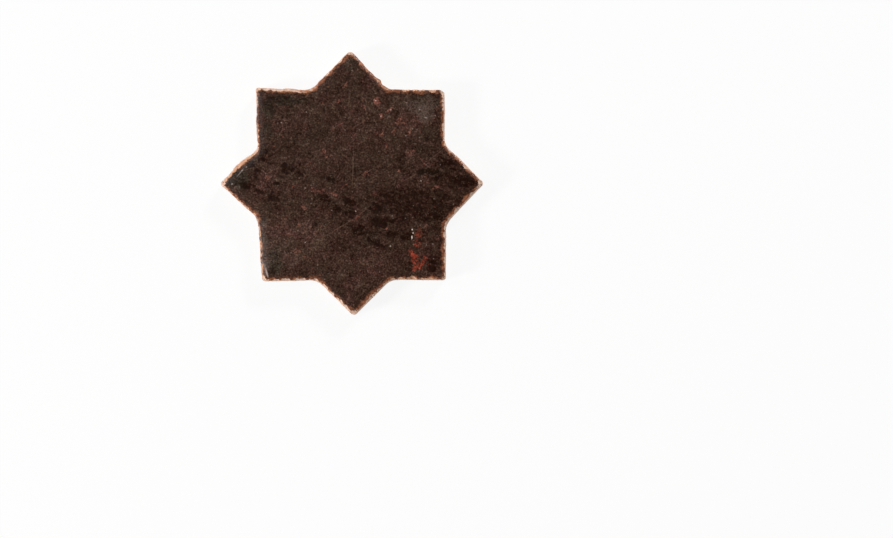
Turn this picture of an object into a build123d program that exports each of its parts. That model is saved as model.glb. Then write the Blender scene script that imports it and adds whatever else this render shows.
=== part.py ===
"""Glazed star tile: one piece of fired clay with a glazed face, bare sides and a plain back.

Millimetres, +Z up. The tile lies on its back with the glazed face up. The origin is the middle
of the back, +X is to the right and +Y is up when the face is looked at from above.
"""

import os
from math import cos, pi, sin

from build123d import *

# Driving sizes
TIP_SPAN = 150.0  # from one tip to the opposite tip, across the back, before the tips are rounded
THICKNESS = 15.0  # from the back to the glazed face
DRAFT = 1.5  # lean of the sides in degrees: the face is a little smaller than the back
TIP_ROUNDING = 2.4  # plan radius of the outward corners
NOTCH_ROUNDING = 9.0  # plan radius of the inward corners
FACE_ROUNDING = 1.8  # radius of the arris that the glaze rolls over
BACK_CHAMFER = 0.6  # worn arris around the back

# How far the hand-cut corners lie from those of a true star, as (right, up). Each point of the
# star gives its tip first and then the notch that follows it, anticlockwise from the right point.
HAND_CUT = (
    ((-0.4, 0.3), (-0.9, -0.5)),  # right point
    ((-0.9, -0.3), (-1.6, -0.2)),  # upper right point
    ((-0.8, 0.0), (-1.5, -0.7)),  # top point
    ((-1.4, 0.9), (-0.5, -2.7)),  # upper left point
    ((-0.1, -0.4), (0.0, 2.2)),  # left point
    ((2.0, -2.3), (2.2, -1.7)),  # lower left point
    ((0.8, -0.2), (-0.4, -1.4)),  # bottom point
    ((-0.2, -1.8), (-0.2, -0.9)),  # lower right point
)


def star_corners():
    """Returns the tips and the notches of the hand-cut star, each a list of points."""
    count = len(HAND_CUT)
    half_step = pi / count
    tip_reach = TIP_SPAN / 2
    # The sides of each point run on into the sides of the points next but one, as in a star
    # made of two equal squares laid over each other.
    notch_reach = tip_reach * cos(2 * half_step) / cos(half_step)
    tips, notches = [], []
    for number, (tip_shift, notch_shift) in enumerate(HAND_CUT):
        tip_angle = 2 * half_step * number
        notch_angle = tip_angle + half_step
        tips.append(Vector(tip_reach * cos(tip_angle), tip_reach * sin(tip_angle)) + tip_shift)
        notches.append(
            Vector(notch_reach * cos(notch_angle), notch_reach * sin(notch_angle)) + notch_shift
        )
    return tips, notches


def rounded_outline():
    """Returns the face bounded by the star's outline, with its tips and notches rounded."""
    tips, notches = star_corners()
    corners = [corner for pair in zip(tips, notches) for corner in pair]
    star = make_face(Polyline(*corners, close=True))

    def near(points, vertex):
        return any((Vector(vertex) - point).length < NOTCH_ROUNDING / 100 for point in points)

    star = fillet([v for v in star.vertices() if near(tips, v)], TIP_ROUNDING)
    star = fillet([v for v in star.vertices() if near(notches, v)], NOTCH_ROUNDING)
    return star


def star_tile():
    """Returns the tile: the outline drawn up with its draft, then the arrises of face and back."""
    tile = extrude(rounded_outline(), THICKNESS, taper=DRAFT)
    tile = fillet(tile.faces().sort_by(Axis.Z)[-1].edges(), FACE_ROUNDING)
    tile = chamfer(tile.faces().sort_by(Axis.Z)[0].edges(), BACK_CHAMFER)
    box = tile.bounding_box()
    return Pos(-box.center().X, -box.center().Y, 0) * tile


os.makedirs("parts", exist_ok=True)
export_step(star_tile(), "parts/star_tile.step")
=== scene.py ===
"""Dressed model of a glazed star tile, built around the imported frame.

The tile is one piece of fired clay with a dark glaze on its face. Its outline is taken from the
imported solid, and the hand-made finish is added here: a worn arris, a waved face and the glaze.
Sizes in the classes are millimetres and colours are screen values. Meshes are in metres.
"""

import logging
import math
import random
from bisect import bisect
from collections.abc import Iterable, Mapping
from dataclasses import dataclass, field
from enum import Enum

import bmesh
import bpy
from bmesh.types import BMEdge, BMesh, BMLayerItem, BMVert
from bpy.types import Material, Node, NodeSocket, Object, World
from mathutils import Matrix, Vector, noise
from mathutils.kdtree import KDTree


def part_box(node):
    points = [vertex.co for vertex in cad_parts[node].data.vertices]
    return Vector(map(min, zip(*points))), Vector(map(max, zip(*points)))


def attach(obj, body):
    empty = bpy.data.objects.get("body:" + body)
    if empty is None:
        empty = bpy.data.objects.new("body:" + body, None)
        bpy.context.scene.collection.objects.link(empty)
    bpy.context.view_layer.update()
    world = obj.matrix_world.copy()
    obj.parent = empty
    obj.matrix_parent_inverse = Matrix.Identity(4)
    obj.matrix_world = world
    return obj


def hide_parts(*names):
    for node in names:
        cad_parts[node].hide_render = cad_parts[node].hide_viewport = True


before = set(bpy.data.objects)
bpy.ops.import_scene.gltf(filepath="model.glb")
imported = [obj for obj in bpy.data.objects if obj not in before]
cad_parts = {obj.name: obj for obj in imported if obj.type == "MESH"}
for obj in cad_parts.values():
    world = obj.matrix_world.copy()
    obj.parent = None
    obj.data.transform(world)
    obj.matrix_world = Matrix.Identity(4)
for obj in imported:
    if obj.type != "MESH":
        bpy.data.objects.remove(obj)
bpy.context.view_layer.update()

LOG = logging.getLogger("star_tile")
MM = 0.001  # metres
HAIR = 0.01  # millimetres that count as nothing
PHOTO_WIDTH = 893  # pixels
PHOTO_HEIGHT = 538
MM_PER_PIXEL = 0.561  # on the tile's face
STAIN_END = 1.5  # where a stain has faded out, in lengths of its ellipse
HAND_MARK_END = 2.5  # where a hand mark has faded out, in lengths of its reach


@dataclass(frozen=True)
class Paint:
    """A colour as it looks on screen, in steps of 255."""

    red: int
    green: int
    blue: int

    def linear(self) -> tuple[float, float, float, float]:
        """Takes away the screen's curve.

        Returns:
            The colour as the shader takes it, with full alpha.
        """

        def open_up(step: int) -> float:
            """Returns one channel as a share of the light."""
            share = step / 255
            return share / 12.92 if share <= 0.04045 else ((share + 0.055) / 1.055) ** 2.4

        return (open_up(self.red), open_up(self.green), open_up(self.blue), 1.0)


WHITE = Paint(255, 255, 255)
Colour = Paint | NodeSocket


class Scalar:
    """A number that varies over a surface: a socket with Python's arithmetic."""

    def __init__(self, recipe: "Recipe", socket: NodeSocket) -> None:
        """Wraps a socket.

        Args:
            recipe: the nodes that the socket is among.
            socket: an output that gives one number.
        """
        self.recipe = recipe
        self.socket = socket

    def math(self, operation: str, *numbers: "Scalar | float") -> "Scalar":
        """Adds a Math node.

        Args:
            operation: the Math node's operation.
            numbers: its inputs in order.

        Returns:
            The result.
        """
        node = self.recipe.add("ShaderNodeMath", {"operation": operation}, dict(enumerate(numbers)))
        return Scalar(self.recipe, node.outputs[0])

    def __add__(self, other: "Scalar | float") -> "Scalar":
        """Returns self + other."""
        return self.math("ADD", self, other)

    def __radd__(self, other: float) -> "Scalar":
        """Returns other + self."""
        return self.math("ADD", other, self)

    def __sub__(self, other: "Scalar | float") -> "Scalar":
        """Returns self - other."""
        return self.math("SUBTRACT", self, other)

    def __rsub__(self, other: float) -> "Scalar":
        """Returns other - self."""
        return self.math("SUBTRACT", other, self)

    def __mul__(self, other: "Scalar | float") -> "Scalar":
        """Returns self * other."""
        return self.math("MULTIPLY", self, other)

    def __rmul__(self, other: float) -> "Scalar":
        """Returns other * self."""
        return self.math("MULTIPLY", other, self)

    def __truediv__(self, other: "Scalar | float") -> "Scalar":
        """Returns self / other."""
        return self.math("DIVIDE", self, other)

    def most(self, other: "Scalar | float") -> "Scalar":
        """Returns the larger of the two."""
        return self.math("MAXIMUM", self, other)

    def exp(self) -> "Scalar":
        """Returns e to the power of self."""
        return self.math("EXPONENT", self)

    def step(self, none: float, full: float) -> "Scalar":
        """Fades between two values.

        Args:
            none: the value at which the result is 0.
            full: the value at which it is 1, above or below none.

        Returns:
            A smooth step from 0 to 1.
        """
        node = self.recipe.add(
            "ShaderNodeMapRange",
            {"interpolation_type": "SMOOTHSTEP"},
            {"Value": self, "From Min": none, "From Max": full},
        )
        return Scalar(self.recipe, node.outputs[0])


class Recipe:
    """The nodes of a material or of the surround, all added by one method."""

    upright: float = 1000.0  # scale up the side, so large that a stretched pattern stays the same
    speck_edge: float = 0.12  # half the width of a speck's soft edge

    def __init__(self, holder: Material | World) -> None:
        """Starts with no nodes.

        Args:
            holder: the new material or world that takes the nodes.
        """
        holder.use_nodes = True
        self.tree = holder.node_tree
        self.tree.nodes.clear()

    def add(
        self,
        kind: str,
        settings: Mapping[str, object] | None = None,
        inputs: Mapping[int | str, object] | None = None,
    ) -> Node:
        """Adds a node.

        Args:
            kind: the node's type.
            settings: its own settings, set first.
            inputs: values or links for its sockets, by number or name.

        Returns:
            The node.
        """
        node = self.tree.nodes.new(kind)
        for name, setting in (settings or {}).items():
            setattr(node, name, setting)
        for key, value in (inputs or {}).items():
            socket = node.inputs[key]
            if isinstance(value, Scalar):
                self.tree.links.new(value.socket, socket)
            elif isinstance(value, NodeSocket):
                self.tree.links.new(value, socket)
            elif isinstance(value, Paint):
                socket.default_value = value.linear()
            else:
                socket.default_value = value
        return node

    def place(self) -> NodeSocket:
        """Returns the place on the piece, in millimetres."""
        return self.scaled(self.add("ShaderNodeTexCoord").outputs["Object"], 1 / MM)

    def scaled(self, vector: object, factor: Scalar | float) -> NodeSocket:
        """Returns a vector, or a colour taken as one, times a factor."""
        node = self.add(
            "ShaderNodeVectorMath", {"operation": "SCALE"}, {0: vector, "Scale": factor}
        )
        return node.outputs[0]

    def attribute(self, name: str) -> Scalar:
        """Returns a number that the mesh carries at its vertices."""
        node = self.add("ShaderNodeAttribute", {"attribute_name": name})
        return Scalar(self, node.outputs["Fac"])

    def stretch(self, place: NodeSocket, stain: "Stain") -> NodeSocket:
        """Returns the place as a vector that is 1 long on the stain's edge."""
        node = self.add(
            "ShaderNodeMapping",
            {"vector_type": "TEXTURE"},
            {
                "Vector": place,
                "Location": (stain.x, stain.y, 0.0),
                "Rotation": (0.0, 0.0, math.radians(stain.turn)),
                "Scale": (stain.half_length, stain.half_width, self.upright),
            },
        )
        return node.outputs[0]

    def length(self, vector: NodeSocket) -> Scalar:
        """Returns a vector's length."""
        node = self.add("ShaderNodeVectorMath", {"operation": "LENGTH"}, {0: vector})
        return Scalar(self, node.outputs["Value"])

    def grain(
        self, place: NodeSocket, size: float, detail: float = 2.0, roughness: float = 0.5
    ) -> Scalar:
        """Adds cloudy noise around zero.

        Args:
            place: the place in millimetres.
            size: the size of its largest clouds.
            detail: how many times the clouds are halved.
            roughness: how strong the small clouds are.

        Returns:
            The noise, about -0.5 to 0.5.
        """
        node = self.add(
            "ShaderNodeTexNoise",
            {"noise_dimensions": "3D"},
            {"Vector": place, "Scale": 1 / size, "Detail": detail, "Roughness": roughness},
        )
        return Scalar(self, node.outputs[0]) - 0.5

    def specks(
        self, place: NodeSocket, gap: float, share: float, radius: float, ragged: Scalar
    ) -> Scalar:
        """Scatters small specks over the face.

        Args:
            place: the place in millimetres.
            gap: the usual distance between the places that may have one.
            share: the share of those places that have one.
            radius: the radius of the largest.
            ragged: how far the edge is torn, in millimetres.

        Returns:
            A mask that is 1 on a speck.
        """
        cells = self.add(
            "ShaderNodeTexVoronoi",
            {"feature": "F1", "voronoi_dimensions": "2D"},
            {"Vector": place, "Scale": 1 / gap},
        )
        away = Scalar(self, cells.outputs["Distance"]) * gap
        chances = self.add("ShaderNodeSeparateColor", {}, {0: cells.outputs["Color"]})
        there = Scalar(self, chances.outputs["Red"]).step(share, share * 0.9)
        size = Scalar(self, chances.outputs["Green"]) * radius
        return (away + ragged - size).step(self.speck_edge, -self.speck_edge) * there

    def blend(self, share: Scalar, under: Colour, over: Colour) -> NodeSocket:
        """Lays one colour over another.

        Args:
            share: how much of the upper colour shows.
            under: the lower colour.
            over: the upper colour.

        Returns:
            The blended colour.
        """
        node = self.add(
            "ShaderNodeMix",
            {"data_type": "RGBA", "blend_type": "MIX"},
            {0: share, 6: under, 7: over},
        )
        return node.outputs[2]

    def shade(self, paint: Paint, strength: Scalar) -> NodeSocket:
        """Returns a colour made lighter or darker by a factor."""
        return self.scaled(paint.linear()[:3], strength)

    def finish(self, inputs: Mapping[str, object]) -> None:
        """Closes a material.

        Args:
            inputs: what the surface shader takes.
        """
        surface = self.add("ShaderNodeBsdfPrincipled", {}, inputs)
        self.add("ShaderNodeOutputMaterial", {}, {"Surface": surface.outputs[0]})


class StainKind(Enum):
    """A kind of stain, or of painted light, on the glaze, by the name that the mesh carries it
    under.
    """

    DARK = "dark"  # thick, nearly black glaze
    SHADE = "shade"  # thick, dark brown glaze
    LIGHT = "light"  # thin, lighter glaze, with more painted glints on it
    OLIVE_AND_REFLECTION = "olive_and_reflection"  # glaze with a green cast, and a painted reflection on the left tip
    BLOOM_AND_SHEEN = "bloom_and_sheen"  # dull pale bloom, and painted sheen on the left tip and down the lower left side
    IRON = "iron"  # iron red
    FLECK = "fleck"  # pink flecks
    RUST = "rust"  # wide rust along the arris
    TOAST_AND_SHADE = "toast_and_shade"  # browned clay on the arris, and painted shade on the bottom side's arris
    RUNS = "runs"  # glaze that ran down the side


@dataclass(frozen=True)
class Stain:
    """One mark on the face, a stain or a patch of painted light: an ellipse, placed from the middle
    of the tile.
    """

    x: float
    y: float
    half_length: float
    half_width: float
    turn: float = 0.0
    strength: float = 1.0

    def cover(self, x: float, y: float) -> float:
        """Measures the stain at a place.

        Args:
            x: the place to the right of the middle.
            y: the place above the middle.

        Returns:
            The strength in the middle, half of that on the ellipse and nothing well outside it.
        """
        turn = math.radians(self.turn)
        right, up = x - self.x, y - self.y
        along = (right * math.cos(turn) + up * math.sin(turn)) / self.half_length
        across = (up * math.cos(turn) - right * math.sin(turn)) / self.half_width
        fade = min(1.0, max(0.0, STAIN_END - math.hypot(along, across)))
        return self.strength * fade * fade * (3 - 2 * fade)

    def reach(self) -> float:
        """Returns how far from its middle the stain ends."""
        return STAIN_END * max(self.half_length, self.half_width)


# The stains of each kind
# Some are painted light: sheen and a reflection near the left tip, sheen down the lower left side,
# and shade on the bottom side's arris
STAINS = {
    StainKind.DARK: (
        Stain(-36.0, 8.2, 4.8, 2.4, -15.0),
        Stain(-29.5, 5.2, 3.4, 1.1, -38.0),
        Stain(-53.5, 6.5, 2.4, 3.0),
        Stain(-56.8, 10.5, 2.4, 1.8),
        Stain(-50.0, 15.0, 6.0, 3.8, 40.0, 0.6),
        Stain(-59.0, -1.6, 5.0, 1.5, -12.0),
        Stain(-52.0, -4.7, 2.9, 1.2, -18.0),
        Stain(-43.4, -7.8, 3.8, 2.1, -20.0),
        Stain(-41.0, -0.2, 3.1, 1.1, -8.0, 0.7),
        Stain(-15.2, -8.4, 4.6, 1.7, -35.0),
        Stain(-10.6, 1.4, 4.4, 1.8, -10.0, 0.85),
        Stain(-1.0, -10.6, 4.2, 2.7, -15.0, 1.1),
        Stain(-8.2, -14.6, 2.6, 2.2, 0.0),
        Stain(-0.4, -17.2, 4.1, 1.4, -8.0),
        Stain(-20.6, -23.6, 1.9, 2.0, 0.0, 0.7),
        Stain(-40.5, 47.6, 6.0, 1.4, -3.0, 0.9),
        Stain(-37.5, 45.6, 2.6, 2.8, 0.0, 0.7),
        Stain(-29.0, 46.2, 5.3, 1.2, 0.0, 0.6),
        Stain(43.5, 6.0, 7.2, 1.6, -5.0),
        Stain(57.0, 2.2, 10.2, 2.2, -10.0, 0.9),
        Stain(64.5, 1.0, 4.1, 3.0),
        Stain(53.5, 11.6, 9.0, 2.2, -14.0, 0.8),
        Stain(28.4, 15.0, 2.9, 4.2, 0.0, 0.6),
        Stain(23.0, -8.0, 7.2, 2.8, -8.0, 0.5),
        Stain(13.5, -14.4, 4.1, 3.2, -20.0, 1.4),
        Stain(15.4, -22.2, 4.8, 3.1, -25.0, 1.3),
        Stain(21.4, -20.8, 4.1, 1.6, 0.0, 0.9),
        Stain(5.0, -26.8, 6.0, 2.2, -12.0),
        Stain(11.0, -32.0, 2.9, 2.1, -10.0),
        Stain(16.6, -35.2, 5.0, 1.8, -25.0, 0.9),
        Stain(23.4, -29.0, 4.1, 2.2, -4.0, 0.8),
        Stain(30.2, -30.2, 3.4, 2.4, -10.0, 0.9),
        Stain(32.0, -47.0, 2.9, 3.5, 0.0, 0.7),
        Stain(44.8, -46.0, 3.1, 4.2, 0.0, 0.8),
        Stain(36.0, -7.0, 3.6, 7.5, 15.0, 0.5),
        Stain(44.0, -17.0, 8.4, 3.8, -10.0, 0.5),
    ),
    StainKind.SHADE: (
        Stain(37.0, -11.5, 26.0, 10.5, -3.0),
        Stain(57.0, 4.0, 15.0, 9.0, -8.0, 0.8),
        Stain(22.0, -23.0, 15.0, 9.0, -10.0, 0.6),
        Stain(48.0, -36.0, 6.0, 15.0, 0.0, 0.6),
        Stain(41.0, 22.0, 12.0, 8.0, 0.0, 0.3),
        Stain(-43.0, 46.0, 12.0, 5.0, 0.0, 0.5),
        Stain(-60.0, 3.0, 9.0, 7.0, 20.0, 0.6),
    ),
    StainKind.LIGHT: (
        Stain(-33.0, -33.0, 19.0, 17.0, 20.0),
        Stain(-52.0, -15.0, 9.0, 4.5, -45.0, 0.8),
        Stain(-52.0, 4.0, 13.0, 11.0, 0.0, 0.5),
        Stain(4.0, -52.0, 18.0, 15.0, 0.0, 0.6),
        Stain(24.0, 38.0, 26.0, 14.0, 0.0, 0.5),
        Stain(0.0, 64.0, 9.0, 9.0, 0.0, 0.5),
    ),
    StainKind.OLIVE_AND_REFLECTION: (
        # Painted reflection: the grey sheen on the rolled left tip
        Stain(-63.0, 1.6, 6.5, 4.5, 30.0),
        Stain(-46.5, 42.5, 3.0, 6.0),
        Stain(-36.0, 46.0, 12.0, 3.0, 0.0, 0.8),
        Stain(-46.5, 29.5, 3.0, 5.0, 0.0, 0.7),
        Stain(-43.0, -43.0, 4.5, 9.0, 0.0, 0.8),
        Stain(0.0, 68.0, 6.0, 6.0, 0.0, 0.6),
        Stain(42.0, 46.0, 9.0, 5.0, 0.0, 0.5),
        Stain(41.0, 24.0, 12.0, 8.0, 0.0, 0.42),
        Stain(44.0, 6.0, 8.0, 2.6, -5.0, 0.7),
        Stain(12.5, -16.0, 6.0, 6.0, 0.0, 0.45),
        Stain(-6.0, -13.0, 9.0, 4.5, -15.0, 0.42),
        Stain(-12.6, 1.9, 5.0, 3.0, 0.0, 0.42),
        Stain(4.0, 12.0, 9.0, 10.0, 0.0, 0.36),
        Stain(-24.0, 26.0, 12.0, 6.0, 0.0, 0.34),
        Stain(10.0, -30.0, 10.0, 4.0, -20.0, 0.4),
    ),
    StainKind.BLOOM_AND_SHEEN: (
        Stain(35.5, 42.0, 7.0, 4.5, -30.0, 0.75),
        Stain(40.5, 39.5, 6.5, 4.2, -25.0, 0.9),
        Stain(43.0, 44.5, 6.0, 4.0, 0.0, 0.6),
        # The next three are painted sheen, on the lower left shoulder and at the left tip
        Stain(-47.6, -44.0, 2.2, 5.0, 5.0, 0.6),
        Stain(-49.0, -31.0, 2.2, 12.0, 3.0, 0.45),
        Stain(-64.5, -2.4, 1.8, 1.4, 0.0, 0.9),
        Stain(-38.0, -38.0, 16.0, 14.0, 20.0, 0.28),
    ),
    StainKind.IRON: (
        Stain(34.8, -41.4, 5.2, 2.0, -66.0),
        Stain(38.2, -46.4, 4.2, 1.7, 28.0),
        Stain(41.2, -41.4, 1.8, 1.2, 0.0, 0.75),
        Stain(41.0, -44.2, 1.6, 2.0, 0.0, 0.85),
        Stain(37.6, -27.8, 1.8, 2.4, 20.0, 0.78),
        Stain(36.6, -33.6, 1.6, 2.2, 0.0, 0.7),
        Stain(37.2, -35.2, 2.0, 0.9, 0.0, 0.65),
    ),
    StainKind.FLECK: (
        Stain(14.9, 45.8, 2.4, 1.2, -20.0, 1.0),
        Stain(-18.0, -4.2, 8.5, 1.5, -10.0, 0.52),
        Stain(6.6, 43.2, 1.5, 1.5, 0.0, 0.6),
        Stain(21.6, 41.2, 3.0, 0.9, 12.0, 0.7),
        Stain(16.4, 37.4, 1.4, 1.4, 0.0, 0.9),
        Stain(26.4, 34.2, 2.8, 2.2, 0.0, 0.52),
        Stain(16.2, 28.4, 2.3, 0.9, 0.0, 0.6),
        Stain(23.6, 29.0, 1.4, 1.3, 0.0, 0.6),
        Stain(32.4, 28.4, 0.9, 1.6, 0.0, 0.6),
        Stain(19.2, 20.4, 1.1, 1.8, 0.0, 0.6),
        Stain(34.0, 16.6, 2.8, 2.4, 0.0, 0.52),
        Stain(41.5, 11.6, 4.8, 1.0, -26.0, 0.52),
        Stain(7.0, 4.9, 2.6, 0.9, 40.0, 0.6),
        Stain(25.8, 7.0, 1.1, 2.0, 0.0, 0.6),
        Stain(42.2, 1.2, 1.4, 1.3, 0.0, 0.6),
        Stain(48.6, -2.4, 3.2, 2.0, 0.0, 0.52),
        Stain(20.4, -25.4, 2.4, 0.9, 0.0, 0.6),
        Stain(42.6, -24.4, 2.2, 1.3, 0.0, 0.52),
        Stain(-4.4, 54.6, 2.6, 1.3, 0.0, 0.52),
        Stain(-7.4, 45.8, 1.7, 1.4, 0.0, 0.6),
        Stain(-6.0, 33.0, 1.3, 1.0, 0.0, 0.9),
        Stain(-15.2, 18.4, 1.2, 1.7, 0.0, 0.6),
        Stain(-14.0, 15.0, 1.6, 1.6, 0.0, 0.7),
        Stain(-44.0, 21.0, 1.0, 1.6, 20.0, 0.6),
        Stain(-47.0, 2.6, 2.7, 1.7, 0.0, 0.52),
        Stain(-10.7, -6.2, 2.6, 1.2, 0.0, 0.75),
        Stain(-3.4, -1.6, 0.9, 1.6, 0.0, 0.6),
        Stain(-26.0, -14.0, 1.9, 1.3, 0.0, 0.6),
        Stain(-38.0, -21.0, 2.4, 1.5, 0.0, 0.52),
        Stain(-29.5, -24.0, 3.0, 1.7, -25.0, 0.52),
        Stain(-35.0, -30.0, 2.0, 1.4, -20.0, 0.55),
        Stain(-30.5, -38.0, 4.4, 2.2, 0.0, 0.52),
        Stain(-25.5, -42.2, 3.0, 1.6, -20.0, 0.52),
        Stain(-29.6, -42.4, 1.3, 2.0, 0.0, 0.52),
    ),
    StainKind.RUST: (
        Stain(-35.0, 52.0, 11.0, 6.0, 0.0, 0.35),
        Stain(-58.0, 15.0, 9.0, 5.0, 45.0, 0.6),
        Stain(30.0, 52.0, 14.0, 5.0, 0.0, 0.4),
        Stain(12.0, 62.5, 13.0, 4.0, -46.0, 0.5),
        Stain(14.0, -63.0, 9.0, 5.0, 40.0, 0.5),
    ),
    StainKind.TOAST_AND_SHADE: (
        Stain(-64.0, 9.5, 12.0, 5.0, 43.0),
        Stain(-53.0, 38.0, 4.0, 14.0, 0.0, 0.8),
        Stain(-52.0, -34.0, 4.0, 18.0, 0.0, 0.8),
        Stain(-62.0, -11.0, 13.0, 4.0, -45.0, 0.8),
        # Painted shade, darkening the bottom side's arris
        Stain(36.0, -53.5, 17.0, 4.0, 0.0, 0.9),
        Stain(33.0, 53.0, 18.0, 4.0, 0.0, 0.9),
        Stain(10.0, 64.5, 12.0, 4.0, -46.0, 0.8),
    ),
    StainKind.RUNS: (
        Stain(11.5, 63.0, 12.0, 8.0, -46.0, 1.2),
        Stain(-53.0, 36.0, 8.0, 8.0, 90.0, 0.9),
        Stain(-22.0, 57.0, 9.0, 8.0, 40.0, 0.8),
    ),
}

# Pale specks, and painted highlights, smaller than the squares of the mesh
SPECKS_AND_HIGHLIGHTS = (
    Stain(34.0, -26.1, 0.41, 0.41),
    Stain(34.6, -28.1, 0.35, 0.35),
    Stain(33.9, -30.6, 0.33, 1.1),
    Stain(21.8, -35.4, 0.41, 0.35, 0.0, 0.45),
    Stain(22.0, 41.1, 0.46, 0.35, 0.0, 0.5),
    Stain(13.6, 46.2, 0.52, 0.29, -15.0, 0.6),
    Stain(16.5, 37.5, 0.29, 0.35, 0.0, 0.7),
    Stain(38.2, 41.3, 0.41, 0.35, 0.0, 0.35),
    Stain(41.6, 36.7, 0.7, 0.35, -10.0, 0.35),
    Stain(47.0, 37.8, 0.35, 0.35, 0.0, 0.3),
    Stain(39.0, 1.2, 0.46, 0.35, 0.0, 0.45),
    Stain(2.4, -15.8, 0.35, 0.35, 0.0, 0.5),
    Stain(22.8, -18.4, 0.29, 0.35, 0.0, 0.35),
    Stain(-39.4, 33.9, 0.35, 0.29, 0.0, 0.45),
    Stain(-25.4, 39.8, 0.29, 0.29, 0.0, 0.5),
    Stain(-26.0, -2.8, 0.41, 0.35, 0.0, 0.35),
    Stain(-26.0, -33.3, 0.35, 0.29, 0.0, 0.5),
    Stain(63.5, 10.0, 0.81, 0.41, -40.0, 0.8),
    # The last five are painted highlights: a broken line on the left tip's rolled edge, and a
    # streak at the lower left corner
    Stain(-62.6, 5.6, 2.8, 0.29, 50.0, 0.2),
    Stain(-61.5, 7.0, 0.7, 0.41, 35.0, 0.35),
    Stain(-59.0, 9.0, 0.5, 0.29, 60.0, 0.3),
    Stain(-67.0, -0.6, 0.6, 0.46, 60.0, 0.3),
    Stain(-47.6, -50.4, 3.0, 0.5, -75.0, 0.5),
)

# Fine scratches, by their length and direction
SCRATCHES = (
    Stain(0.8, 9.0, 13.0, 0.32, 88.0),
    Stain(-6.5, -24.8, 12.0, 0.32, 31.0),
    Stain(7.0, -15.6, 6.5, 0.32, 40.0),
    Stain(4.4, 33.2, 4.6, 0.34, 29.0),
    Stain(11.4, 7.6, 4.6, 0.3, 30.0, 0.8),
    Stain(32.5, 2.9, 4.0, 0.32, 30.0),
    Stain(13.7, 33.8, 3.0, 0.36, -62.0),
    Stain(47.0, 15.5, 5.0, 0.32, 38.0),
)


class Ground:
    """What the layers of the glazed clay share: the place on the tile, and noise by size."""

    def __init__(self, recipe: Recipe) -> None:
        """Adds the shared nodes.

        Args:
            recipe: the recipe that takes them.
        """
        self.recipe = recipe
        self.place = recipe.place()
        self.run = recipe.attribute("run")
        self.bare = recipe.attribute("bare")
        self.clouds = recipe.grain(self.place, 26.0, 2.0, 0.5)
        self.mottle = recipe.grain(self.place, 6.0, 5.0, 0.85)
        self.tear = recipe.grain(self.place, 4.0, 5.0, 0.65)
        self.creep = recipe.grain(self.place, 3.2, 5.0, 0.6)
        self.crumbs = recipe.grain(self.place, 1.3, 3.0, 0.65)
        self.fine = recipe.grain(self.place, 0.8, 1.0, 0.6)

    def stain(self, kind: StainKind, torn: float) -> Scalar:
        """Returns how strongly a kind of stain, or of painted light, covers the place, with torn
        edges.
        """
        return self.recipe.attribute(kind.value) + self.tear * torn

    def marks(self, stains: tuple[Stain, ...]) -> Scalar:
        """Draws stains, and painted highlights, that are finer than the mesh.

        Args:
            stains: the stains.

        Returns:
            A mask that is 1 where a stain is strongest.
        """
        total: Scalar | None = None
        for stain in stains:
            away = self.recipe.length(self.recipe.stretch(self.place, stain))
            mask = (away + self.crumbs).step(1.3, 0.6) * stain.strength
            total = mask if total is None else total.most(mask)
        return total


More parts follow.
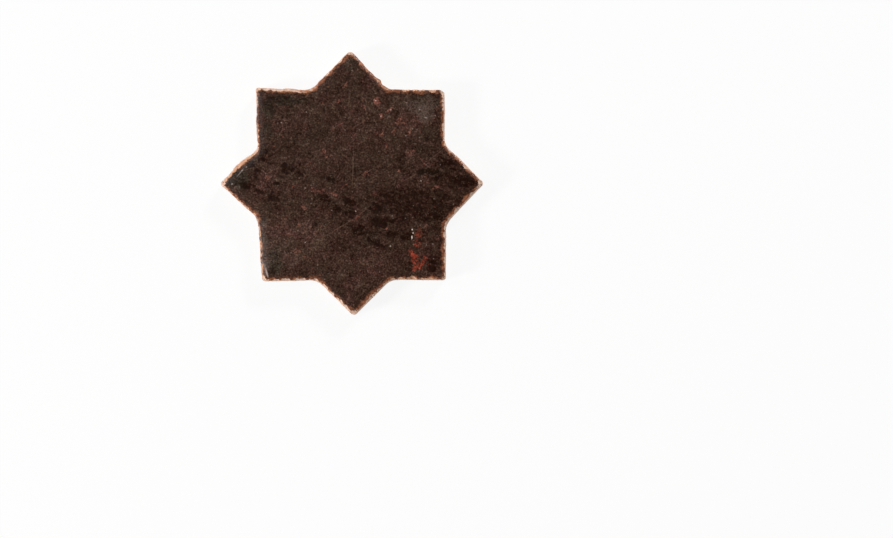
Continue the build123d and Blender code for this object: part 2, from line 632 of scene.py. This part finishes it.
@dataclass(frozen=True)
class GlazedClay:
    """Dark mottled glaze on the face, thinning to rust at the arris, and bare clay elsewhere, with
    painted glints, sheen, highlights and reflection on the glaze, and painted shade on one arris.
    """

    thick: Paint = Paint(27, 6, 0)  # thick glaze
    moss: Paint = Paint(25, 9, 1)  # thick glaze with a green cast
    thin: Paint = Paint(114, 90, 74)  # thin glaze
    ruddy: Paint = Paint(124, 86, 75)  # thin glaze with a red cast
    green: Paint = Paint(104, 91, 76)  # thin glaze with a green cast
    bloom_and_sheen: Paint = Paint(106, 92, 83)  # dull bloom on the glaze, and painted sheen
    rust: Paint = Paint(102, 57, 38)  # dark crust where the glaze ends
    ochre: Paint = Paint(176, 114, 82)  # light crust, and glaze that ran over the clay
    iron: Paint = Paint(134, 55, 38)  # patches of iron red
    fleck: Paint = Paint(150, 92, 78)  # pink flecks
    painted_glint: Paint = Paint(132, 117, 108)  # painted glints: grey grains of painted highlight over the glaze
    speck_and_highlight: Paint = Paint(232, 210, 200)  # pale specks, and painted highlights and glints
    clay: Paint = Paint(228, 193, 171)  # bare clay
    grog: Paint = Paint(190, 142, 114)  # darker grains in the clay
    dust: Paint = Paint(244, 226, 212)  # pale dust on the clay
    wash_and_shade: Paint = Paint(206, 150, 114)  # clay stained by the glaze above it, and painted shade on the bottom side's arris
    flow: Stain = Stain(0.0, 0.0, 6.0, 2.6, -18.0)  # size and lean of the streaks in the glaze
    drag: Stain = Stain(0.0, 0.0, 40.0, 1.2, 12.0)  # size and lean of the marks of the cut
    drip: Stain = Stain(0.0, 0.0, 3.0, 3.0)  # size of the drips down the side
    tone: float = 0.188  # share of thin glaze, on the whole
    iron_cover: float = 0.9
    fleck_cover: float = 0.62
    speck_and_highlight_cover: float = 0.85
    rust_cover: float = 0.92
    glaze_roughness: float = 0.3
    clay_roughness: float = 0.9
    index: float = 1.36  # of refraction
    glaze_edge: float = 0.1  # where the glaze ends, along the section from the arris
    glaze_lip: float = 0.18  # how far the glaze stands above the clay
    rust_width: float = 1.9

    def glaze(self, ground: Ground) -> NodeSocket:
        """Colours the glaze.

        Args:
            ground: the place and the shared noise.

        Returns:
            The colour: nearly black where the glaze is thick, a dull pink brown where it is thin,
                with painted glints, sheen, highlights and reflection laid in.
        """
        recipe, place, mottle, fine = ground.recipe, ground.place, ground.mottle, ground.fine
        streaks = recipe.grain(recipe.stretch(place, self.flow), 1.0, 3.0, 0.65)
        torn = streaks * 4.5 + ground.crumbs * 3.0 + mottle * 3.0
        dark = (ground.stain(StainKind.DARK, 0.6) * (1.0 + torn)).step(0.3, 0.8)
        shade = (ground.stain(StainKind.SHADE, 1.0) * (1.0 + torn * 0.8)).step(0.1, 1.3)
        light = ground.stain(StainKind.LIGHT, 1.0).step(0.1, 0.9)
        scratches = ground.marks(SCRATCHES) * (0.5 + ground.crumbs)
        grit = (mottle * 3.7 + fine * 4.0).exp()
        tone = (self.tone + ground.clouds * 0.06 + light * 0.07) * grit
        tone = tone * (1 - shade * 0.85) * (1 - dark * 0.92)
        tone = tone + fine * 0.3 + scratches * 0.55
        # Green cast, and the painted reflection on the left tip
        olive_and_reflection = ground.stain(StainKind.OLIVE_AND_REFLECTION, 1.0).step(0.1, 0.9)
        ruddy = recipe.grain(place, 9.0, 2.0, 0.6).step(-0.15, 0.25) * (1 - olive_and_reflection)
        hue = recipe.blend(ruddy, recipe.blend(olive_and_reflection, self.thin, self.green), self.ruddy)
        colour = recipe.blend(tone, recipe.blend(olive_and_reflection, self.thick, self.moss), hue)
        # Painted glints: grey grains of painted highlight, more where the glaze is light
        painted_glints = (fine + mottle * 0.5).step(0.14, 0.46)
        painted_glints = painted_glints * (0.22 + light * 0.25) * (1 - dark * 0.5)
        colour = recipe.blend(painted_glints, colour, self.painted_glint)

        # Pale bloom, and painted sheen on the left tip and the lower left shoulder
        bloom_and_sheen = ground.stain(StainKind.BLOOM_AND_SHEEN, 1.0).step(0.1, 0.9)
        colour = recipe.blend(bloom_and_sheen * (0.34 + mottle * 1.6 + fine * 1.2), colour, self.bloom_and_sheen)
        broken = ground.crumbs * 2.4 + fine
        iron = (ground.stain(StainKind.IRON, 1.0) * 1.4 + broken * 1.3).step(0.45, 1.8)
        red = recipe.shade(self.iron, (mottle * 3.5 + fine * 3.0).exp())
        colour = recipe.blend(iron * self.iron_cover, colour, red)
        flecks = recipe.specks(place, 6.0, 0.2, 1.2, ground.crumbs * 3.0) * 0.18
        large = ground.stain(StainKind.FLECK, 0.6) * 1.5 + broken * 0.6
        flecks = flecks.most(large.step(0.5, 1.5))
        pink = recipe.shade(self.fleck, (fine * 3.0).exp())
        colour = recipe.blend(flecks * self.fleck_cover, colour, pink)
        # Scattered pale pinpoints are painted glints; the listed specks hold painted highlights too
        specks = recipe.specks(place, 3.8, 0.18, 0.36, ground.crumbs * 0.5) * 0.2
        specks = specks.most(ground.marks(SPECKS_AND_HIGHLIGHTS))
        return recipe.blend(specks * self.speck_and_highlight_cover, colour, self.speck_and_highlight)

    def thinned(self, ground: Ground, glaze: NodeSocket, past: Scalar) -> NodeSocket:
        """Breaks the glaze to rust along the arris, where it is thin.

        Args:
            ground: the place and the shared noise.
            glaze: the colour of the glaze.
            past: the way from the edge of the glaze.

        Returns:
            The colour with its rust.
        """
        recipe, creep, crumbs = ground.recipe, ground.creep, ground.crumbs
        wide = ground.stain(StainKind.RUST, 0.8).step(0.1, 0.9)
        reach = self.rust_width * (1.0 + creep * 2.0 + wide * 0.9)
        thin = (past / reach + crumbs * 1.3).step(1.15, 0.45)
        crust = recipe.blend((crumbs + creep * 0.5).step(-0.12, 0.22), self.rust, self.ochre)
        return recipe.blend(thin * self.rust_cover, glaze, crust)

    def body(self, ground: Ground, lumps: Scalar) -> NodeSocket:
        """Colours the bare clay.

        Args:
            ground: the place and the shared noise.
            lumps: noise for the grog in the clay.

        Returns:
            The colour: buff, with darker grog and pale dust, a wash of glaze under the arris,
            painted shade on the bottom side's arris, and a few runs of glaze down the side.
        """
        recipe = ground.recipe
        clay = recipe.blend(lumps.step(0.06, 0.28), self.clay, self.grog)
        powder = recipe.grain(ground.place, 5.0, 4.0, 0.6).step(-0.1, 0.35)
        clay = recipe.blend(powder * 0.7, clay, self.dust)
        below = ground.run + ground.creep * 2.5
        # Browned clay on the arris, and painted shade on the bottom side's arris, laid on as wash
        toast_and_shade = ground.stain(StainKind.TOAST_AND_SHADE, 0.8).step(0.2, 0.7)
        washed_and_shaded = below.step(-1.5, -0.5) * (1 - ground.bare * 0.8).most(toast_and_shade)
        clay = recipe.blend(washed_and_shaded * (0.75 + ground.crumbs * 2.4), clay, self.wash_and_shade)
        drips = recipe.grain(recipe.stretch(ground.place, self.drip), 1.0, 4.0, 0.7)
        depth = ground.stain(StainKind.RUNS, 0.4).step(0.1, 1.3) * (5.5 + drips * 26.0)
        runs = (below + depth).step(-2.5, 0.5) * depth.step(0.0, 2.0)
        return recipe.blend(runs * (0.7 + ground.crumbs * 2.0 + drips), clay, self.ochre)

    def make(self) -> Material:
        """Puts the layers together.

        Returns:
            The finished material.
        """
        material = bpy.data.materials.new("glazed_clay")
        recipe = Recipe(material)
        ground = Ground(recipe)

        # The glaze stops on the arris, and rolls over it here and there
        roll = recipe.grain(ground.place, 11.0, 2.0).step(0.1, 0.28) * 1.5
        # Where the browned arris lies the glaze reaches further; on the bottom side this is painted
        # shade
        roll = roll + recipe.attribute(StainKind.TOAST_AND_SHADE.value) * 0.5
        past = ground.run - (self.glaze_edge + ground.creep * 1.8 + ground.crumbs * 0.8 - roll)
        coat = past.step(-0.12, 0.16) * (1 - ground.bare)
        lumps = recipe.grain(ground.place, 1.6, 4.0, 0.65)
        drag = recipe.grain(recipe.stretch(ground.place, self.drag), 1.0, 3.0, 0.6)
        glaze = self.thinned(ground, self.glaze(ground), past)
        colour = recipe.blend(coat, self.body(ground, lumps), glaze)

        # Gloss and fine relief
        satin = self.glaze_roughness + ground.mottle * 0.3
        gloss = coat * satin + (1 - coat) * self.clay_roughness
        skin = self.glaze_lip + ground.mottle * 0.09 + ground.fine * 0.05
        skin = coat * skin + (1 - coat) * (lumps * 0.22 + drag * 0.2)
        bump = recipe.add("ShaderNodeBump", {}, {"Height": skin, "Distance": MM, "Strength": 1.0})
        recipe.finish(
            {
                "Base Color": colour,
                "Roughness": gloss,
                "Normal": bump.outputs[0],
                "IOR": self.index,
            }
        )
        return material


@dataclass(frozen=True)
class Station:
    """A point of the section.

    The inset is from the outline of the foot. The run is the way along the section from the
    crest of the arris, and it is negative down the side.
    """

    inset: float
    height: float
    run: float


@dataclass
class Section:
    """The tile's edge in section, from the back to the face."""

    thickness: float
    back_chamfer: float = 0.6
    draft: float = 1.5  # degrees
    arris: float = 1.4  # radius
    arris_turn: float = 84.0  # degrees that the arris turns through
    shoulder: float = 6.0  # width of the slope inside the arris
    shoulder_drop: float = 0.7
    wall_steps: int = 15
    arris_steps: int = 6
    shoulder_steps: int = 13

    def stations(self) -> list[Station]:
        """Walks the section.

        Returns:
            The stations, from the back to the face.
        """
        lean = math.tan(math.radians(self.draft))
        crest = self.thickness - self.shoulder_drop
        spring = crest - self.arris
        points = [(self.back_chamfer, 0.0)]
        for number in range(self.wall_steps + 1):
            height = self.back_chamfer + (spring - self.back_chamfer) * number / self.wall_steps
            points.append((height * lean, height))
        foot = spring * lean
        for number in range(1, self.arris_steps + 1):
            angle = math.radians(self.arris_turn) * number / self.arris_steps
            inset = foot + self.arris * (1 - math.cos(angle))
            points.append((inset, spring + self.arris * math.sin(angle)))
        start, base = points[-1]
        for number in range(1, self.shoulder_steps + 1):
            share = number / self.shoulder_steps
            rise = (self.thickness - base) * (1 - (1 - share) ** 2)
            points.append((start + self.shoulder * share, base + rise))
        runs = [0.0]
        for before, after in zip(points, points[1:]):
            runs.append(runs[-1] + math.dist(before, after))
        middle = runs[1 + self.wall_steps + self.arris_steps // 2]
        return [Station(*point, run - middle) for point, run in zip(points, runs)]


@dataclass(frozen=True)
class HandMark:
    """A place where the edge was pushed out, or pressed down, by hand."""

    place: tuple[float, float]
    reach: float
    push: float = 0.0
    drop: float = 0.0

    def fade(self, x: float, y: float) -> float:
        """Returns how much of the mark is left at a place: all of it in the middle."""
        away = math.dist(self.place, (x, y)) / self.reach
        return math.exp(-away * away) if away < HAND_MARK_END else 0.0


HAND_MARKS = (
    HandMark((-63.2, 11.6), 7.0, push=1.3, drop=1.0),
    HandMark((-53.6, 53.3), 3.0, push=0.2),
    HandMark((-53.0, 38.0), 13.0, drop=-0.35),
    HandMark((-35.0, 53.5), 6.0, push=0.5),
    HandMark((-62.0, -11.0), 7.0, push=0.3),
    HandMark((-52.5, 20.2), 3.5, push=-0.8, drop=-0.3),
    HandMark((-53.6, -20.2), 6.0, push=0.4),
    HandMark((-52.1, -37.6), 8.0, push=0.1, drop=0.4),
    HandMark((-48.0, -49.5), 6.0, drop=0.7),
    HandMark((59.2, 15.1), 8.0, push=0.4),
    HandMark((15.7, 58.1), 1.4, push=0.7),
    HandMark((17.4, 56.5), 1.4, push=-0.4),
    HandMark((-43.8, 53.9), 1.4, push=0.5),
    HandMark((52.5, 53.0), 3.5, push=-0.5),
    HandMark((8.0, 66.0), 6.0, push=-0.4),
)


@dataclass(frozen=True)
class Chip:
    """A place where the arris has broken away: a round scoop."""

    place: tuple[float, float]
    radius: float
    depth: float


LARGE_CHIPS = (
    Chip((-73.5, 0.0), 3.4, 1.3),
    Chip((-71.5, 2.0), 4.2, 1.05),
    Chip((-69.0, 4.8), 4.2, 1.1),
    Chip((-66.5, 7.6), 4.4, 1.15),
    Chip((-64.0, 10.4), 4.6, 1.25),
    Chip((-61.0, 13.2), 4.4, 1.2),
    Chip((-58.0, 15.8), 4.0, 0.95),
    Chip((-55.5, 18.0), 3.4, 0.7),
    Chip((-1.0, 74.0), 2.8, 0.8),
    Chip((15.5, 58.0), 2.4, 0.9),
    Chip((64.0, 9.5), 2.6, 1.1),
    Chip((-52.0, 53.0), 3.0, 0.8),
    Chip((-48.0, 53.0), 2.8, 0.7),
    Chip((-43.5, 53.0), 3.4, 0.95),
    Chip((-40.0, 53.0), 3.2, 0.9),
    Chip((-36.5, 52.8), 3.4, 1.0),
    Chip((-33.0, 52.5), 3.2, 1.05),
    Chip((-29.5, 52.2), 3.0, 0.9),
    Chip((-27.0, 52.0), 3.2, 0.9),
    Chip((1.0, -73.5), 3.0, 0.9),
    Chip((-3.0, -70.0), 3.0, 0.6),
    Chip((73.0, 0.5), 2.6, 0.8),
    Chip((52.5, -54.5), 1.8, 0.6),
)


def bearing(spot: Vector) -> float:
    """Returns the direction of a place from the middle of the tile, in radians."""
    return math.atan2(spot.y, spot.x)


def tree_of(verts: list[BMVert]) -> KDTree:
    """Sorts vertices by place.

    Args:
        verts: the vertices.

    Returns:
        A tree that finds the vertices near a place, by their number in the list.
    """
    tree = KDTree(len(verts))
    for number, vertex in enumerate(verts):
        tree.insert(vertex.co, number)
    tree.balance()
    return tree


Waves = tuple[tuple[float, float], ...]  # the height and the frequency of each wave


def waves_at(spot: Vector, waves: Waves, apart: float = 0.0) -> float:
    """Adds up waves of noise.

    Args:
        spot: the place in millimetres.
        waves: the waves.
        apart: a shift that gives other waves of the same kind.

    Returns:
        The height of the waves at the place.
    """
    shift = Vector((apart, 0.0, 0.0))
    return sum(height * noise.noise(spot * often + shift) for height, often in waves)


@dataclass
class ArrisWear:
    """Chips along the arris: the large ones listed and many small ones by chance."""

    large: tuple[Chip, ...] = LARGE_CHIPS
    small_count: int = 260
    small_radius: tuple[float, float] = (0.7, 2.2)
    small_depth: tuple[float, float] = (0.12, 0.45)
    deepest: float = 0.5  # depth of a small chip at most, in radii
    rough: Waves = ((0.16, 1.1),)  # how a chip's radius varies, in radii
    search: float = 1.25  # where a chip surely ends, in radii
    seed: int = 11
    bare_depth: float = 0.09  # depth at which the glaze is gone

    def chips(self, crest: list[BMVert]) -> list[Chip]:
        """Places the chips.

        Args:
            crest: the vertices along the arris.

        Returns:
            All the chips, with the small ones at vertices taken by chance.
        """
        dice = random.Random(self.seed)
        chips = list(self.large)
        for _ in range(self.small_count):
            spot = dice.choice(crest).co / MM
            radius = dice.uniform(*self.small_radius)
            depth = min(dice.uniform(*self.small_depth), radius * self.deepest)
            chips.append(Chip((spot.x, spot.y), radius, depth))
        return chips

    def wear(self, shell: BMesh, crest: list[BMVert], bare: BMLayerItem) -> None:
        """Scoops the chips out of the tile.

        Args:
            shell: the tile.
            crest: the vertices along the arris.
            bare: the layer that notes where clay shows.
        """
        chips = self.chips(crest)
        along = tree_of(crest)
        everywhere = shell.verts[:]
        near = tree_of(everywhere)
        for chip in chips:
            level = crest[0].co.z
            _, number, _ = along.find((chip.place[0] * MM, chip.place[1] * MM, level))
            spot = crest[number]
            radius = chip.radius * MM
            middle = spot.co + spot.normal * (radius - chip.depth * MM)
            for _, index, _ in near.find_range(middle, radius * self.search):
                vertex = everywhere[index]
                offset = vertex.co - middle
                rough = 1 + waves_at(vertex.co / MM, self.rough)
                short = radius * rough - offset.length
                if short > 0 and offset.length > 0:
                    vertex.co += offset.normalized() * short
                    vertex[bare] = min(1.0, vertex[bare] + short / (self.bare_depth * MM))


@dataclass
class StarTile:
    """The tile: its outline from the solid, its section, its worn arris and its waved face."""

    node: str = "star_tile"
    step: float = 0.45  # length of the outline's edges
    smoothing: int = 4  # rounds of smoothing along the outline
    face_cell: float = 0.6  # size of the squares on the face
    back_cell: float = 1.8
    grid_gap: float = 1.1  # width of the row of triangles around a grid, in cells
    side_reach: float = 53.0  # from the middle to the sides of the points
    past_end: float = 2.0  # run of the face and the back, past the ends of the section
    foot: float = 2.0  # height over which the waves of the side set in
    level: float = 0.05  # sideways part of a normal up to which a place counts as level
    side_stretch: float = 0.35  # how much slower the waves change up the side
    side_waves: Waves = ((0.3, 0.11), (0.26, 0.36), (0.18, 1.0))
    edge_waves: Waves = ((0.15, 0.07),)
    face_waves: Waves = ((0.16, 0.055), (0.05, 0.2), (0.02, 0.6))
    face_sink: float = 0.14  # keeps the crests of the face under the solid's height
    back_waves: Waves = ((0.2, 0.12),)
    stray: float = 2.0  # how far the outlines of the stains wander
    stray_waves: Waves = ((1.0, 0.28), (0.5, 0.7))
    stray_apart: float = 40.0
    wear: ArrisWear = field(default_factory=ArrisWear)
    finish: GlazedClay = GlazedClay()

    def outline(self, shell: BMesh) -> None:
        """Takes the outline of the solid's back, cut into short edges.

        Args:
            shell: an empty bmesh, which takes the outline.
        """
        shell.from_mesh(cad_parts[self.node].data)
        bmesh.ops.remove_doubles(shell, verts=shell.verts[:], dist=MM / 1000)
        low = min(vertex.co.z for vertex in shell.verts)
        raised = [vertex for vertex in shell.verts if vertex.co.z > low + HAIR * MM]
        bmesh.ops.delete(shell, geom=raised, context="VERTS")
        inside = [edge for edge in shell.edges if not edge.is_boundary]
        bmesh.ops.delete(shell, geom=shell.faces[:], context="FACES_ONLY")
        bmesh.ops.delete(shell, geom=inside, context="EDGES")
        groups: dict[int, list[BMEdge]] = {}
        for edge in shell.edges:
            cuts = math.ceil(edge.calc_length() / (self.step * MM)) - 1
            groups.setdefault(cuts, []).append(edge)
        for cuts, edges in groups.items():
            if cuts:
                bmesh.ops.subdivide_edges(shell, edges=edges, cuts=cuts)
        for _ in range(self.smoothing):
            bmesh.ops.smooth_vert(
                shell, verts=shell.verts[:], factor=0.5, use_axis_x=True, use_axis_y=True
            )

    def draw_up(self, shell: BMesh, ring: list[BMEdge], scale: float, rise: float) -> list[BMEdge]:
        """Draws a ring of edges up to the next station of the section.

        Args:
            shell: the tile.
            ring: the edges to draw up.
            scale: how much smaller the new ring is.
            rise: how much higher it lies, in metres.

        Returns:
            The edges of the new ring.
        """
        drawn = bmesh.ops.extrude_edge_only(shell, edges=ring)["geom"]
        verts = [part for part in drawn if isinstance(part, BMVert)]
        bmesh.ops.scale(shell, vec=(scale, scale, 1.0), verts=verts)
        bmesh.ops.translate(shell, vec=(0.0, 0.0, rise), verts=verts)
        fresh = set(verts)
        edges = [part for part in drawn if isinstance(part, BMEdge)]
        return [edge for edge in edges if fresh.issuperset(edge.verts)]

    def close(self, shell: BMesh, ring: list[BMEdge], cell: float) -> list[BMVert]:
        """Fills a ring with an even grid, joined to the ring by a row of triangles.

        Args:
            shell: the tile.
            ring: the edges around the opening.
            cell: the size of the grid's squares.

        Returns:
            The grid's vertices.
        """
        corners = {vertex for edge in ring for vertex in edge.verts}
        level = ring[0].verts[0].co.z
        polar = sorted((bearing(v.co), math.hypot(v.co.x, v.co.y)) for v in corners)
        angles = [angle for angle, _ in polar]
        widest = max(reach for _, reach in polar)
        count = math.ceil(2 * widest / (cell * MM))
        made = bmesh.ops.create_grid(shell, x_segments=count, y_segments=count, size=widest)
        grid = made["verts"]
        bmesh.ops.translate(shell, vec=(0.0, 0.0, level), verts=grid)

        def outside(vertex: BMVert) -> bool:
            """Finds vertices to leave out.

            Args:
                vertex: a vertex of the grid.

            Returns:
                Whether it lies beyond the ring, or too near it.
            """
            index = bisect(angles, bearing(vertex.co)) % len(polar)
            reach = min(polar[index][1], polar[index - 1][1])
            return math.hypot(vertex.co.x, vertex.co.y) > reach - self.grid_gap * cell * MM

        def loose(vertex: BMVert) -> bool:
            """Returns whether a vertex has no face, or holds two patches by one corner."""
            free = sum(edge.is_boundary or edge.is_wire for edge in vertex.link_edges)
            return free > 2 or not vertex.link_faces

        bmesh.ops.delete(shell, geom=[v for v in grid if outside(v)], context="VERTS")
        grid = [v for v in grid if v.is_valid]
        while spare := [v for v in grid if loose(v)]:
            bmesh.ops.delete(shell, geom=spare, context="VERTS")
            grid = [v for v in grid if v.is_valid]
        border = dict.fromkeys(edge for v in grid for edge in v.link_edges if edge.is_boundary)
        bmesh.ops.triangle_fill(shell, use_beauty=True, edges=ring + list(border))
        return grid

    def wave(self, shell: BMesh, run: BMLayerItem, section: Section) -> None:
        """Moves the vertices as hand work does: wavy sides, a waved face and a rough back.

        Args:
            shell: the tile.
            run: the layer with each vertex's way from the arris.
            section: the tile's section.
        """
        for vertex in shell.verts:
            spot = vertex.co / MM
            if spot.z < HAIR:
                vertex.co.z += max(0.0, waves_at(spot, self.back_waves)) * MM
                continue
            flat = Vector((spot.x, spot.y, spot.z * self.side_stretch))
            near_edge = min(1.0, max(0.0, 1 - vertex[run] / section.shoulder))
            raised = min(1.0, spot.z / section.thickness)
            push = waves_at(flat, self.side_waves)
            drop = waves_at(flat, self.edge_waves)
            for mark in HAND_MARKS:
                fade = mark.fade(spot.x, spot.y)
                push += mark.push * fade
                drop += mark.drop * fade
            outward = Vector((vertex.normal.x, vertex.normal.y, 0.0))
            if outward.length > self.level:
                set_in = min(1.0, spot.z / self.foot)
                vertex.co += outward.normalized() * push * near_edge * set_in * MM
            swell = waves_at(flat, self.face_waves) - self.face_sink
            face = 1 - near_edge
            vertex.co.z += (swell * face - drop * near_edge**2) * raised * MM

    def stain(self, shell: BMesh, height: float) -> None:
        """Notes the stains, and the patches of painted light, at the vertices near the face, with
        outlines that wander.

        Args:
            shell: the tile.
            height: the height of the face.
        """
        everywhere = shell.verts[:]
        near = tree_of(everywhere)
        strayed = []
        for vertex in everywhere:
            spot = vertex.co / MM
            right = waves_at(spot, self.stray_waves)
            up = waves_at(spot, self.stray_waves, self.stray_apart)
            strayed.append(spot + Vector((right, up, 0.0)) * self.stray)
        for kind, stains in STAINS.items():
            layer = shell.verts.layers.float[kind.value]
            for stain in stains:
                middle = Vector((stain.x, stain.y, height)) * MM
                reach = (stain.reach() + self.stray) * MM
                for _, index, _ in near.find_range(middle, reach):
                    vertex = everywhere[index]
                    spot = strayed[index]
                    vertex[layer] = max(vertex[layer], stain.cover(spot.x, spot.y))

    def shape(self, shell: BMesh, run: BMLayerItem, stations: list[Station]) -> list[BMVert]:
        """Draws the outline up through the section and closes the face and the back.

        Args:
            shell: the tile, with only its outline so far.
            run: the layer that takes each vertex's way from the arris.
            stations: the stations of the section.

        Returns:
            The vertices along the crest of the arris, in order around the tile.
        """
        back = ring = shell.edges[:]
        for vertex in shell.verts:
            vertex[run] = stations[0].run
        crest: list[BMVert] = []
        for lower, upper in zip(stations, stations[1:]):
            scale = (self.side_reach - upper.inset) / (self.side_reach - lower.inset)
            ring = self.draw_up(shell, ring, scale, (upper.height - lower.height) * MM)
            corners = {vertex for edge in ring for vertex in edge.verts}
            for vertex in corners:
                vertex[run] = upper.run
            if abs(upper.run) < HAIR:
                crest = sorted(corners, key=lambda vertex: bearing(vertex.co))
        for vertex in self.close(shell, ring, self.face_cell):
            vertex[run] = stations[-1].run + self.past_end
        for vertex in self.close(shell, back, self.back_cell):
            vertex[run] = stations[0].run - self.past_end
        bmesh.ops.recalc_face_normals(shell, faces=shell.faces[:])
        return crest

    def build(self) -> Object:
        """Builds, dresses and places the tile.

        Returns:
            The finished piece.
        """
        low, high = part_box(self.node)
        section = Section((high[2] - low[2]) / MM)
        shell = bmesh.new()
        self.outline(shell)
        run = shell.verts.layers.float.new("run")
        bare = shell.verts.layers.float.new("bare")
        for kind in STAINS:
            shell.verts.layers.float.new(kind.value)
        crest = self.shape(shell, run, section.stations())
        shell.normal_update()
        self.wave(shell, run, section)
        shell.normal_update()
        self.stain(shell, section.thickness)
        self.wear.wear(shell, crest, bare)
        for face in shell.faces:
            face.smooth = True
        mesh = bpy.data.meshes.new("glazed_star")
        shell.to_mesh(mesh)
        shell.free()
        piece = bpy.data.objects.new("glazed_star", mesh)
        bpy.context.scene.collection.objects.link(piece)
        mesh.materials.append(self.finish.make())
        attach(piece, "root")
        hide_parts(self.node)
        return piece


@dataclass(frozen=True)
class Lamp:
    """A soft lamp, placed by its direction from the tile."""

    name: str
    towards: tuple[float, float]
    elevation: float  # degrees above the floor
    share: float  # of the light that makes a white sheet white
    distance: float = 2.2  # metres
    width: float = 0.45  # metres

    def hang(self) -> Object:
        """Hangs the lamp so that it gives its share of the light on a level white sheet.

        Returns:
            The lamp.
        """
        rise = math.radians(self.elevation)
        flat = Vector((*self.towards, 0.0)).normalized() * math.cos(rise)
        aim = Vector((flat.x, flat.y, math.sin(rise)))
        data = bpy.data.lights.new(self.name, "AREA")
        data.shape = "DISK"
        data.size = self.width
        data.energy = self.share * (math.pi * self.distance) ** 2 / math.sin(rise)
        lamp = bpy.data.objects.new(self.name, data)
        lamp.location = aim * self.distance
        lamp.rotation_euler = aim.to_track_quat("Z", "Y").to_euler()
        bpy.context.scene.collection.objects.link(lamp)
        return lamp


@dataclass
class Studio:
    """A white floor, three soft lamps, a pale surround and a camera that looks straight down."""

    lamps: tuple[Lamp, ...] = (
        Lamp("left_lamp", (-0.953, -0.303), 34.0, 0.38),
        Lamp("high_lamp", (-0.94, 0.34), 57.0, 0.12),
        Lamp("far_lamp", (0.577, 0.817), 36.0, 0.3),
    )
    tile_pixel: tuple[float, float] = (351.5, 183.0)  # the tile's middle in the picture
    camera_height: float = 1215.0
    face_height: float = 15.0
    sensor: float = 36.0
    floor_half: float = 10.0  # metres
    floor_matt: float = 0.9  # share of the light that the floor gives back
    floor_glow: float = 0.9  # share of plain white in what is seen of the floor
    floor_gap: tuple[float, float] = (0.6, 0.4)  # distances over which the floor turns clear
    horizon: float = 0.8
    zenith: float = 0.032
    dusk: tuple[float, float] = (0.6, 0.08)  # heights between which the surround darkens

    def floor(self) -> Object:
        """Lays a white floor that keeps a light shadow.

        Returns:
            The floor.
        """
        sheet = bmesh.new()
        bmesh.ops.create_grid(sheet, x_segments=1, y_segments=1, size=self.floor_half)
        mesh = bpy.data.meshes.new("floor")
        sheet.to_mesh(mesh)
        sheet.free()
        material = bpy.data.materials.new("white_floor")
        recipe = Recipe(material)
        pale = (self.floor_matt, self.floor_matt, self.floor_matt, 1.0)
        matt = recipe.add("ShaderNodeBsdfDiffuse", {}, {"Color": pale})
        glow = recipe.add("ShaderNodeEmission", {}, {"Color": WHITE, "Strength": 1.0})
        path = recipe.add("ShaderNodeLightPath")
        seen = Scalar(recipe, path.outputs["Is Camera Ray"])
        seen = seen.most(Scalar(recipe, path.outputs["Is Glossy Ray"]))
        seen = seen.most(Scalar(recipe, path.outputs["Is Transmission Ray"]))
        lit = recipe.add(
            "ShaderNodeMixShader",
            {},
            {0: seen * self.floor_glow, 1: matt.outputs[0], 2: glow.outputs[0]},
        )
        # The floor is clear from below, and to the tile's own back, so that the back can be seen
        side = recipe.add("ShaderNodeNewGeometry")
        far, near = self.floor_gap
        touch = Scalar(recipe, path.outputs["Ray Length"]).step(far * MM, near * MM)
        hidden = Scalar(recipe, side.outputs["Backfacing"]).most(touch)
        clear = recipe.add("ShaderNodeBsdfTransparent")
        surface = recipe.add(
            "ShaderNodeMixShader", {}, {0: hidden, 1: lit.outputs[0], 2: clear.outputs[0]}
        )
        recipe.add("ShaderNodeOutputMaterial", {}, {"Surface": surface.outputs[0]})
        mesh.materials.append(material)
        floor = bpy.data.objects.new("floor", mesh)
        bpy.context.scene.collection.objects.link(floor)
        return floor

    def surround(self) -> World:
        """Sets a surround that is white at the horizon, dark overhead and white to the camera.

        Returns:
            The world.
        """
        world = bpy.data.worlds.new("surround")
        recipe = Recipe(world)
        where = recipe.add("ShaderNodeTexCoord").outputs["Generated"]
        split = recipe.add("ShaderNodeSeparateXYZ", {}, {0: where})
        height = Scalar(recipe, split.outputs["Z"])
        strength = self.zenith + height.step(*self.dusk) * (self.horizon - self.zenith)
        path = recipe.add("ShaderNodeLightPath")
        strength = strength.most(Scalar(recipe, path.outputs["Is Camera Ray"]))
        sky = recipe.add("ShaderNodeBackground", {}, {"Color": WHITE, "Strength": strength})
        recipe.add("ShaderNodeOutputWorld", {}, {"Surface": sky.outputs[0]})
        bpy.context.scene.world = world
        return world

    def camera(self) -> Object:
        """Sets the camera over the middle of the picture, looking straight down.

        Returns:
            The camera.
        """
        across = (PHOTO_WIDTH / 2 - self.tile_pixel[0]) * MM_PER_PIXEL
        down = (PHOTO_HEIGHT / 2 - self.tile_pixel[1]) * MM_PER_PIXEL
        data = bpy.data.cameras.new("camera")
        data.sensor_width = self.sensor
        above = self.camera_height - self.face_height
        data.lens = self.sensor * above / (PHOTO_WIDTH * MM_PER_PIXEL)
        camera = bpy.data.objects.new("camera", data)
        camera.location = Vector((across, -down, self.camera_height)) * MM
        bpy.context.scene.collection.objects.link(camera)
        bpy.context.scene.camera = camera
        return camera

    def set_up(self) -> None:
        """Sets up the whole studio."""
        self.floor()
        self.surround()
        for lamp in self.lamps:
            lamp.hang()
        self.camera()
        bpy.context.scene.view_settings.view_transform = "Standard"


def main() -> None:
    """Builds the tile and the studio, and notes the sizes."""
    logging.basicConfig(level=logging.INFO, format="%(message)s")
    piece = StarTile().build()
    mesh = piece.data
    LOG.info("%s: %d vertices, %d faces", piece.name, len(mesh.vertices), len(mesh.polygons))
    Studio().set_up()


if __name__ == "__main__":
    main()
